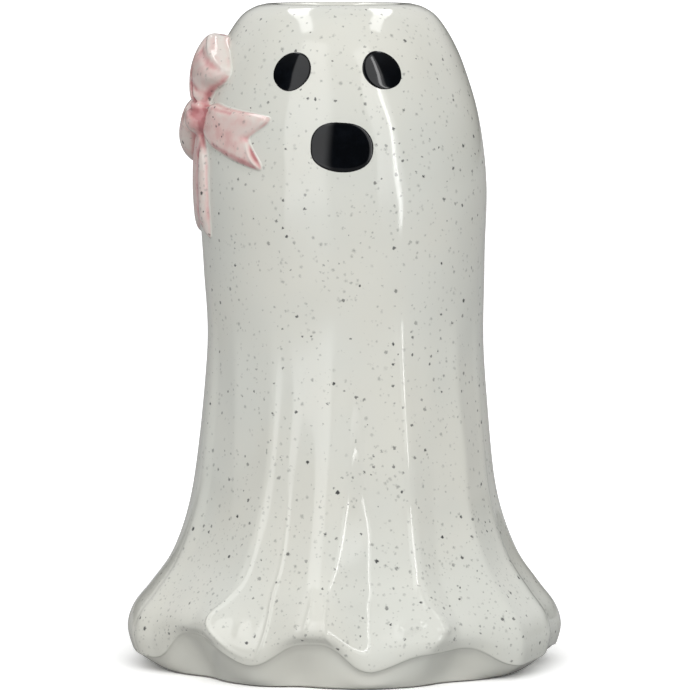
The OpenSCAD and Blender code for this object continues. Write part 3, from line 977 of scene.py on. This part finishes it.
bowWash = {
    "base": 0.34,             # depth of the pink on the faces
    "lineSpread": 1.5,        # width of the pooled pink, in widths of its line
    "pooling": 0.9,           # how strongly it pools in a crease, between these limits
    "palest": -0.2,
    "deepest": 0.45,
    "whitePales": 0.8,        # how far a white line pales the pink, and bares the glaze (partly a painted highlight)
    "whiteBares": 0.35,
}

# Outlines beyond the knot, as shares of the reach: round the head towards the face, and up
ribbons = {
    "bowUpperLoop": {
        "node": "bow_upper_loop", "roots": (138, 58), "notch": 0.0, "puffed": True,
        "left": [[-0.6, 0.3], [-0.85, 0.54], [-0.87, 0.78], [-0.64, 0.94], [-0.3, 1]],
        "right": [[0.25, 0.36], [0.49, 0.47], [0.55, 0.61], [0.27, 0.84], [-0.04, 0.98]]},
    "bowRearLoop": {
        "node": "bow_rear_loop", "roots": (215, 150), "notch": 0.0, "puffed": True,
        "left": [[-0.365, -0.408], [-0.603, -0.558], [-0.951, -0.625], [-1.268, -0.563],
                 [-1.443, -0.396]],
        "right": [[-0.444, 0.229], [-0.793, 0.233], [-1.142, 0.125], [-1.395, -0.05],
                  [-1.506, -0.213]]},
    "bowFrontTail": {
        "node": "bow_front_tail", "roots": (40, -42), "notch": 0.26, "puffed": False,
        "left": [[0.412, 0.179], [0.666, 0.142], [0.951, 0.113], [1.237, 0.083],
                 [1.484, 0.046]],
        "right": [[0.396, -0.308], [0.634, -0.379], [0.888, -0.463], [1.142, -0.533],
                  [1.376, -0.592]]},
    "bowHangingTail": {
        "node": "bow_hanging_tail", "roots": (-62, -118), "notch": 0.2, "puffed": False,
        "left": [[0.285, -0.458], [0.317, -0.75], [0.311, -1.042], [0.301, -1.292],
                 [0.279, -1.483]],
        "right": [[-0.254, -0.5], [-0.333, -0.771], [-0.428, -1.042], [-0.523, -1.271],
                  [-0.618, -1.458]]},
}

# Lines worked into the soft clay, in millimetres from the knot: height is the rise (or the
# depth of a crease), width its half-width, pink how strongly the wash pools, and the white
# how far it thins, which on the ridges is partly a painted highlight
clayLines = {
    "upperLoopRim": {"height": 0.55, "width": 0.55, "pink": -0.2, "white": 1.0,
                     "points": [[-3, 23.9], [2.8, 22.1], [8, 19.4], [11.4, 16.7], [13.3, 14.6],
                                [13.9, 12.9]]},
    "upperLoopRidge": {"height": 0.5, "width": 0.5, "pink": -0.1, "white": 0.5,
                       "points": [[-6, 23.3], [-1, 21.0], [4.6, 18.2], [9.6, 16.1],
                                  [12.4, 14.9], [14.6, 13.9]]},
    "upperLoopFold": {"height": -0.4, "width": 1.0, "pink": 0.15, "white": 0,
                      "points": [[-3, 18.4], [0.3, 17.2], [5.5, 15.5], [9.8, 14.3],
                                 [12.3, 13.3]]},
    "lowerLobeLine": {"height": -0.4, "width": 0.8, "pink": 0.2, "white": 0,
                      "points": [[-5.5, 13], [-2.6, 9.4], [1.6, 7.3], [5.2, 6.8]]},
    "leftStrandLine": {"height": -0.7, "width": 0.8, "pink": 0.4, "white": 0,
                       "points": [[-5, 9.5], [-3.2, 7.8], [-1.6, 6], [1.6, 3.2], [4, 1.4]]},
    "knotLeftCrease": {"height": -1.2, "width": 0.9, "pink": 0.5, "white": 0,
                       "points": [[-9, 4.6], [-4.5, 3.1], [-1.4, 2.1], [2, 1.2], [4.8, 0.4]]},
    "knotRightCrease": {"height": -0.5, "width": 0.8, "pink": 0.4, "white": 0,
                        "points": [[4.6, 0.6], [6, 2.1], [7.6, 3.1]]},
    "knotLowerCrease": {"height": -0.2, "width": 1.1, "pink": 0.5, "white": 0,
                        "points": [[5.5, 2.8], [5.0, -0.2], [4.8, -3.2], [4.4, -6.2],
                                   [3.4, -9.4], [1.8, -12]]},
    # deeper pink across the knot: partly pooled wash, partly painted shade between the loops and
    # tails
    "knotPinkAndShade": {"height": 0, "width": 2.6, "pink": 0.28, "white": 0,
                  "points": [[-5, 1], [0, 0.6], [4, 0], [6.4, 1.6]]},
    "rearLoopRim": {"height": 0.25, "width": 0.7, "pink": 0.15, "white": 0,
                    "points": [[-8, 2.2], [-9.6, -1], [-5, -4]]},
    "tailTopLine": {"height": -0.25, "width": 0.5, "pink": 0.45, "white": 0,
                    "points": [[10.2, 3.0], [14, 2.6], [17.6, 2.2], [21, 1.9]]},
    "tailLowLine": {"height": -0.15, "width": 0.55, "pink": 0.5, "white": 0,
                    "points": [[12.2, -7.2], [16.5, -8.6], [21.7, -10.2], [28.5, -12.3],
                               [31.6, -13.6]]},
    "upperNotchRidge": {"height": 0.5, "width": 0.55, "pink": -0.1, "white": 0.35,
                        "points": [[34.6, 0.5], [32.3, -1.2], [30.6, -3.3], [28.2, -5.2]]},
    "upperNotchFold": {"height": -0.35, "width": 0.55, "pink": 0.6, "white": 0,
                       "points": [[34.9, -0.4], [33.3, -1.8], [31.6, -3.9], [29.6, -5.2]]},
    "lowerNotchRidge": {"height": 0.5, "width": 0.55, "pink": -0.1, "white": 0.6,
                        "points": [[27.8, -5.8], [28.4, -8.5], [30.2, -11.5], [32.4, -13.8]]},
    "lowerNotchFold": {"height": -0.35, "width": 0.5, "pink": 0.8, "white": 0,
                       "points": [[28.8, -6.4], [29.4, -8.5], [31.1, -11.4], [32.8, -13.7]]},
    # painted shade: deeper pink down the side of the hanging tail that turns away from the light
    "hangingShade": {"height": -0.1, "width": 1.5, "pink": 0.25, "white": 0,
                     "points": [[3.4, -9], [2.8, -15], [2.2, -21], [1.8, -27], [1.6, -32]]},
    "hangingRidge": {"height": 0.35, "width": 1.8, "pink": -0.1, "white": 0.15,
                     "points": [[6, -9], [5.4, -14], [5.2, -20], [4.9, -26], [4.4, -31]]},
}

# Soft rises: middle, half-lengths, and height
claySwells = [
    [8.6, 10.8, 3.6, 3.2, 0.55],     # lower lobe of the upper loop
    [11.5, -1.2, 5.5, 5.0, 0.6],     # root of the front tail
    [11.2, 3.3, 2.6, 1.1, 0.6],      # fold over the front tail's root
    [-6.0, 16.5, 4.0, 9.0, 0.7],     # back of the upper loop
    [-12.0, -6.0, 6.0, 7.0, 0.5],    # belly of the rear loop
    [3.6, 5.6, 1.6, 2.0, 0.6],       # strand between the knot and the upper loop
    [6.2, -11.0, 2.4, 5.0, 0.3],     # root of the hanging tail
]


def knotEdge(turn):
    return np.stack(oval(bowSizes["knotWidth"] + 2 * bowSizes["knotGap"],
                         bowSizes["knotHeight"] + 2 * bowSizes["knotGap"],
                         bowSizes["knotSquareness"], np.radians(turn)), -1)


def loopOut(along, across):
    crest = bowSizes["crestShare"]
    rise = np.where(along < crest, between(bowSizes["neckShare"], 1, smooth(along / crest)),
                    np.clip(1 - np.clip((along - crest) / (1 - crest), 0, 1)
                            ** bowSizes["loopEnd"], 0, 1) ** 0.5)
    crown = np.clip(1 - np.abs(across) ** bowSizes["loopSides"], 0, 1) ** 0.5
    return between(bowSizes["clayEdge"], bowSizes["loopThickness"], rise * crown)


def tailOut(along, across):
    crown = ((1 - np.abs(across) ** bowSizes["tailSides"])
             * (1 - along ** bowSizes["tailEnd"]))
    return between(bowSizes["clayEdge"], bowSizes["tailThickness"],
                   crown * between(bowSizes["tailMiddle"], 1, across ** 2))


def ribbonPlace(ribbon, along, across):
    # place in the plane round the knot; beyond the end and the sides it runs on in a line
    left = np.array([knotEdge(ribbon["roots"][0])]
                    + [list(np.array(p) * bowSizes["reach"]) for p in ribbon["left"]])
    right = np.array([knotEdge(ribbon["roots"][1])]
                     + [list(np.array(p) * bowSizes["reach"]) for p in ribbon["right"]])

    def inside(a, c):
        share = (1 + c) / 2
        reach = 1 - ribbon["notch"] * (1 - np.abs(c))
        spot = a * reach * (len(left) - 1)
        root = knotEdge(between(ribbon["roots"][0], ribbon["roots"][1], share))
        swell = root - between(left[0], right[0], share[..., None])
        return (between(spline(left, spot), spline(right, spot), share[..., None])
                + swell * ((1 - a) ** 4)[..., None])

    a, c = np.clip(along, 0, 1), np.clip(across, -1, 1)
    place = inside(a, c)
    ahead = place - inside(np.clip(a - 0.04, 0, 1), c)
    behind = place - inside(np.clip(a + 0.04, 0, 1), c)
    heading = np.where((along > 0.5)[..., None], ahead, behind)
    outward = place - inside(a, c * 0.96)
    for direction, extra in ((heading, np.where(along > 0.5, along - a, a - along)),
                             (outward, np.abs(across - c))):
        size = np.maximum(np.linalg.norm(direction, axis=-1, keepdims=True), 1e-6)
        place = place + direction / size * extra[..., None]
    return place


class ReliefMap:
    # values on a fine square grid round the knot, in millimetres
    low = np.array([-42.0, -42.0])
    high = np.array([42.0, 32.0])

    def __init__(self):
        self.shape = tuple(((self.high - self.low) / bowSizes["cell"]).astype(int) + 1)
        self.values = np.zeros(self.shape)

    def cellOf(self, places):
        return (places - self.low) / bowSizes["cell"]

    def raiseTo(self, places, values):
        cell = np.clip(np.round(self.cellOf(places)).astype(int), 0,
                       np.array(self.shape) - 1).reshape(-1, 2)
        np.maximum.at(self.values, (cell[:, 0], cell[:, 1]), np.ravel(values))
        return self

    def soften(self, radius):
        # rounded blur; the tail is cut at three radii
        reach = int(3 * radius / bowSizes["cell"])
        kernel = np.exp(-0.5 * (np.arange(-reach, reach + 1) * bowSizes["cell"] / radius) ** 2)
        kernel /= kernel.sum()
        for axis in (0, 1):
            self.values = np.apply_along_axis(
                lambda line: np.convolve(line, kernel, mode="same"), axis, self.values)
        return self

    def at(self, places):
        cell = np.clip(self.cellOf(places), 0, np.array(self.shape) - 1.001)
        base = np.floor(cell).astype(int)
        part = cell - base
        x, y = base[..., 0], base[..., 1]
        fx, fy = part[..., 0], part[..., 1]
        v = self.values
        return (v[x, y] * (1 - fx) * (1 - fy) + v[x + 1, y] * fx * (1 - fy)
                + v[x, y + 1] * (1 - fx) * fy + v[x + 1, y + 1] * fx * fy)


def gridPlaces():
    blank = ReliefMap()
    steps = [np.arange(n) * bowSizes["cell"] + low for n, low in zip(blank.shape, blank.low)]
    return np.stack(np.meshgrid(*steps, indexing="ij"), -1)


def lineNearness(places, points, width):
    # 1 on a line, falling off beside it, and fading towards its two ends
    curve = spline(points, np.linspace(0, len(points) - 1, 40))
    best = np.full(places.shape[:-1], 1e9)
    fade = np.zeros_like(best)
    for i in range(len(curve) - 1):
        start, run = curve[i], curve[i + 1] - curve[i]
        share = np.clip(((places - start) @ run) / max(run @ run, 1e-9), 0, 1)
        gap = np.linalg.norm(places - start - share[..., None] * run, axis=-1)
        nearer = gap < best
        best = np.where(nearer, gap, best)
        along = (i + share) / (len(curve) - 1)
        fade = np.where(nearer, smooth(np.minimum(along, 1 - along) / 0.12 + 0.25), fade)
    return np.exp(-(best / width) ** 2) * fade


def makeBowMaps():
    relief, covers = ReliefMap(), {}
    fine = np.linspace(0, 1, 420)
    across = np.linspace(-1, 1, 300)
    a, c = np.meshgrid(fine, across, indexing="ij")
    for name, ribbon in ribbons.items():
        places = ribbonPlace(ribbon, a, c)
        relief.raiseTo(places, (loopOut if ribbon["puffed"] else tailOut)(a, c))
        covers[name] = ReliefMap().raiseTo(places, np.ones(a.shape))
    turn, share = np.meshgrid(np.radians(np.linspace(0, 360, 300)), fine, indexing="ij")
    x, y = oval(bowSizes["knotWidth"] + 0.4, bowSizes["knotHeight"] + 0.4,
                bowSizes["knotSquareness"], turn)
    places = np.stack([x * share, y * share], -1)
    relief.raiseTo(places, between(bowSizes["clayEdge"], bowSizes["knotThickness"],
                                   np.clip(1 - share ** 3.2, 0, 1) ** 0.5))
    covers["bowKnot"] = ReliefMap().raiseTo(places, np.ones(share.shape))

    # close the creases between the pieces a little, then work the lines and swells in
    grid = gridPlaces()
    base = ReliefMap()
    base.values = relief.values.copy()
    base.soften(bowSizes["creaseClose"])
    relief.values = np.maximum(relief.values, base.values)
    inside = ReliefMap()
    inside.values = (relief.values > 0.3).astype(float)
    inside.soften(bowSizes["maskSoften"])
    pink, white = ReliefMap(), ReliefMap()
    pink.values += bowWash["base"]
    for line in clayLines.values():
        near = lineNearness(grid, line["points"], line["width"])
        relief.values = relief.values + line["height"] * near * inside.values
        wide = lineNearness(grid, line["points"], line["width"] * bowWash["lineSpread"])
        pink.values = pink.values + line["pink"] * wide
        white.values = np.maximum(white.values, line["white"] * near)
    for x, y, halfX, halfY, rise in claySwells:
        near = np.exp(-((grid[..., 0] - x) / halfX) ** 2 - ((grid[..., 1] - y) / halfY) ** 2)
        relief.values = relief.values + rise * near * inside.values
    sloped = ReliefMap()
    sloped.values = (inside.values > 0.5).astype(float)
    sloped.soften(bowSizes["edgeRound"])
    relief.values = np.maximum(relief.values, 0) * smooth(sloped.values / 0.96)
    relief.soften(bowSizes["soften"])
    hollow = ReliefMap()
    hollow.values = relief.values.copy()
    hollow.soften(bowSizes["hollowSoften"])
    hollow.values = hollow.values - relief.values     # positive in creases
    for cover in covers.values():
        cover.soften(bowSizes["maskSoften"])
    return relief, inside, hollow, pink, white, covers


def finishBowPiece(name, node, places, maps):
    relief, inside, hollow, pink, white, covers = maps
    own = covers[name].at(places)
    others = np.max([cover.at(places) for other, cover in covers.items() if other != name],
                    axis=0)
    out = relief.at(places)
    out = out - bowSizes["underNeighbour"] * smooth((others - own) / 0.3)
    out = out - bowSizes["hemDip"] * (1 - smooth(out / bowSizes["hemFade"]))
    angle = -bowSizes["angle"] + np.degrees(places[..., 0] / bodySizes["chestRadius"])
    height = bodySizes["height"] - bowSizes["knotDrop"] + places[..., 1]
    upper = laidPoint(angle, height, out)
    lower = laidPoint(angle, height, np.full(out.shape, -bowSizes["bury"]))
    cover = smooth((inside.at(places) - 0.35) / 0.45)
    pooled = np.clip(hollow.at(places) * bowWash["pooling"], bowWash["palest"],
                     bowWash["deepest"])
    # where white lines run, the pink is paled and the glaze bared: partly thinner wash on the
    # ridges, partly a painted highlight
    depth = (pink.at(places) + pooled) * (1 - bowWash["whitePales"] * white.at(places))
    cover = cover * (1 - bowWash["whiteBares"] * white.at(places))
    masks = {"pinkCover": np.tile(cover.ravel(), 2), "pinkDepth": np.tile(depth.ravel(), 2)}
    points, faces = sheetSolid(upper, lower)
    piece = makeObject(name, points, faces, pinkGlaze, masks)
    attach(piece, "root")
    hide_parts(node)
    return piece


def ribbonGrid(ribbon, alongSteps, acrossSteps):
    hem = np.array([0.35, 0.75, 1.2, bowSizes["hem"]])
    along = np.concatenate([-hem[::-1], np.linspace(0, 1, alongSteps), 1 + hem])
    across = np.concatenate([-1 - hem[::-1], np.linspace(-1, 1, acrossSteps), 1 + hem])
    a, c = np.meshgrid(along, across, indexing="ij")
    return ribbonPlace(ribbon, a, c)


def knotGrid(steps):
    # a square grid drawn out to the knot's rounded outline
    line = np.linspace(-1, 1, steps)
    x, y = np.meshgrid(line, line, indexing="ij")
    turn = np.arctan2(y, x)
    square = np.maximum(np.abs(x), np.abs(y))
    edgeX, edgeY = oval(bowSizes["knotWidth"] + 2 * bowSizes["hem"],
                        bowSizes["knotHeight"] + 2 * bowSizes["hem"],
                        bowSizes["knotSquareness"], turn)
    return np.stack([edgeX * square, edgeY * square], -1)


bowMaps = makeBowMaps()
bowPieces = [finishBowPiece(name, ribbon["node"], ribbonGrid(ribbon, 110, 64), bowMaps)
             for name, ribbon in ribbons.items()]
bowPieces.append(finishBowPiece("bowKnot", "bow_knot", knotGrid(56), bowMaps))
print("bow: made,", len(bowPieces), "pieces")


# Floor, world, lights and camera

studio = {
    "floorSize": 40.0,
    "floorLevel": -0.0002,
    "floorSeen": 1.4,        # paleness of the floor to the camera
    "floorBounce": 0.42,      # and to the light that it sends back
    "worldSeen": 1.0,
    "worldFill": 0.53,        # even soft light from all sides
    "zenithFill": 0.20,       # and more of it from above
    "worldGloss": 0.045,      # what the glaze mirrors between the soft boxes
    "zenithGloss": 0.30,      # high above them
    "rearGloss": 0.75,        # and above the horizon at the back
    "keyPower": 1.88,
    "keyTurn": 2.0,           # degrees round from the front, and above the table, from
    "keyHeight": 22.0,        # which the soft key comes
    "keySoftness": 70.0,
    "cameraPlace": (0, -1.515, 0.240),
    "cameraDrop": 5.407,      # degrees by which it looks down
    "sensor": 36,
    "lens": 261.62,
}


def makeFloor():
    half = studio["floorSize"] / 2
    mesh = bpy.data.meshes.new("paleFloor")
    level = studio["floorLevel"]
    mesh.from_pydata([(-half, -half, level), (half, -half, level), (half, half, level),
                      (-half, half, level)], [], [(0, 1, 2, 3)])
    material, tree, shader = newMaterial("paleFloorPaper")
    paper = tree.nodes.new("ShaderNodeBsdfDiffuse")
    tree.links.new(paper.outputs[0], tree.nodes["Material Output"].inputs["Surface"])
    path = tree.nodes.new("ShaderNodeLightPath")
    seen, bounce = (tuple([studio[k]] * 3 + [1]) for k in ("floorSeen", "floorBounce"))
    colour = mixColour(tree, path.outputs["Is Camera Ray"], bounce, seen)
    tree.links.new(colour, paper.inputs["Color"])
    tree.nodes.remove(shader)
    mesh.materials.append(material)
    plane = bpy.data.objects.new("paleFloor", mesh)
    bpy.context.scene.collection.objects.link(plane)


def makeWorld():
    world = bpy.data.worlds.new("studioWorld")
    bpy.context.scene.world = world
    world.use_nodes = True
    tree = world.node_tree
    background = tree.nodes["Background"]
    path = tree.nodes.new("ShaderNodeLightPath")
    toward = tree.nodes.new("ShaderNodeSeparateXYZ")
    tree.links.new(tree.nodes.new("ShaderNodeTexCoord").outputs["Generated"], toward.inputs[0])
    fill = rangeNode(tree, toward.outputs[2], 0.0, 1.0, studio["worldFill"],
                     studio["worldFill"] + studio["zenithFill"])
    zenith = rangeNode(tree, toward.outputs[2], 0.42, 0.85, studio["worldGloss"],
                       studio["zenithGloss"])
    rear = mathNode(tree, "MULTIPLY", rangeNode(tree, toward.outputs[2], 0.03, 0.42),
                    rangeNode(tree, toward.outputs[1], 0.0, 0.6, 0.0, studio["rearGloss"]))
    gloss = mathNode(tree, "MAXIMUM", zenith, rear)
    seen = tuple([studio["worldSeen"]] * 3 + [1])
    colour = mixColour(tree, path.outputs["Is Glossy Ray"], fill, gloss)
    colour = mixColour(tree, path.outputs["Is Camera Ray"], colour, seen)
    tree.links.new(colour, background.inputs["Color"])


def addKey():
    light = bpy.data.lights.new("softKey", "SUN")
    light.energy = studio["keyPower"]
    light.angle = math.radians(studio["keySoftness"])
    key = bpy.data.objects.new("softKey", light)
    key.rotation_euler = (math.radians(90 - studio["keyHeight"]), 0,
                          math.radians(studio["keyTurn"]))
    bpy.context.scene.collection.objects.link(key)
    key.visible_glossy = False


# Soft boxes that only the glaze mirrors. Radiance is what the reflection shows; fade gives
# how much of the width (left, right) and of the length (low, high) the light takes to come up.
# Standing ones are placed by angle and distance round the figure, and lean to the right by
# so many degrees, or to the left where the number is below zero.
standingPanels = {
    "leftPanel": {"angle": -25.5, "distance": 0.55, "low": -0.02, "high": 0.92, "width": 0.42,
                  "lean": 0, "radiance": 1.8, "fade": (0.05, 0.28, 0.14, 0.08)},
    "rightPanel": {"angle": 31.5, "distance": 0.60, "low": 0.05, "high": 0.92, "width": 0.22,
                   "lean": -14, "radiance": 1.9, "fade": (0.06, 0.06, 0.14, 0.06)},
    "rightStrip": {"angle": 38.2, "distance": 0.7, "low": 0.038, "high": 0.9, "width": 0.04,
                   "lean": -12, "radiance": 8.0, "fade": (0.1, 0.1, 0.03, 0.02)},
}
overheadPanels = {
    "overheadLeft": {"centre": (-0.283, 0.27, 1.0), "width": 0.165, "length": 1.28,
                     "turn": -9, "radiance": 4.5, "fade": (0.06, 0.06, 0.02, 0.02)},
    "overheadRight": {"centre": (0.318, 0.275, 1.0), "width": 0.17, "length": 1.17,
                      "turn": 11.3, "radiance": 4.5, "fade": (0.06, 0.06, 0.02, 0.02)},
}


def addPanel(name, place, rotation, width, length, radiance, fade):
    light = bpy.data.lights.new(name, "AREA")
    light.shape = "RECTANGLE"
    light.size, light.size_y = width, length
    light.energy = radiance * math.pi * width * length
    light.use_nodes = True
    tree = light.node_tree
    emission = tree.nodes["Emission"]
    across = tree.nodes.new("ShaderNodeSeparateXYZ")
    tree.links.new(tree.nodes.new("ShaderNodeNewGeometry").outputs["Parametric"],
                   across.inputs[0])
    strength = None
    for socket, first, last in ((across.outputs[0], fade[0], fade[1]),
                                (across.outputs[1], fade[2], fade[3])):
        for share in (rangeNode(tree, socket, 0.0, first),
                      rangeNode(tree, socket, 1.0, 1 - last)):
            strength = share if strength is None else mathNode(tree, "MULTIPLY", strength, share)
    tree.links.new(strength, emission.inputs["Strength"])
    lamp = bpy.data.objects.new(name, light)
    lamp.location = place
    lamp.rotation_euler = [math.radians(turn) for turn in rotation]
    bpy.context.scene.collection.objects.link(lamp)
    lamp.visible_camera = False
    lamp.visible_diffuse = False
    return lamp


def around(angle, distance, height):
    turn = math.radians(angle)
    return (distance * math.sin(turn), -distance * math.cos(turn), height)


def addPanels():
    for name, panel in standingPanels.items():
        addPanel(name, around(panel["angle"], panel["distance"],
                              (panel["low"] + panel["high"]) / 2),
                 (90, panel["lean"], panel["angle"]), panel["width"],
                 panel["high"] - panel["low"], panel["radiance"], panel["fade"])
    for name, panel in overheadPanels.items():
        addPanel(name, panel["centre"], (0, 0, panel["turn"]), panel["width"],
                 panel["length"], panel["radiance"], panel["fade"])


def addCamera():
    data = bpy.data.cameras.new("photoCamera")
    data.sensor_width = studio["sensor"]
    data.lens = studio["lens"]
    data.clip_start, data.clip_end = 0.05, 100
    camera = bpy.data.objects.new("photoCamera", data)
    camera.location = studio["cameraPlace"]
    camera.rotation_euler = (math.radians(90 - studio["cameraDrop"]), 0, 0)
    bpy.context.scene.collection.objects.link(camera)
    bpy.context.scene.camera = camera


makeFloor()
makeWorld()
addKey()
addPanels()
addCamera()
bpy.context.scene.view_settings.view_transform = "Standard"
print("studio: made")
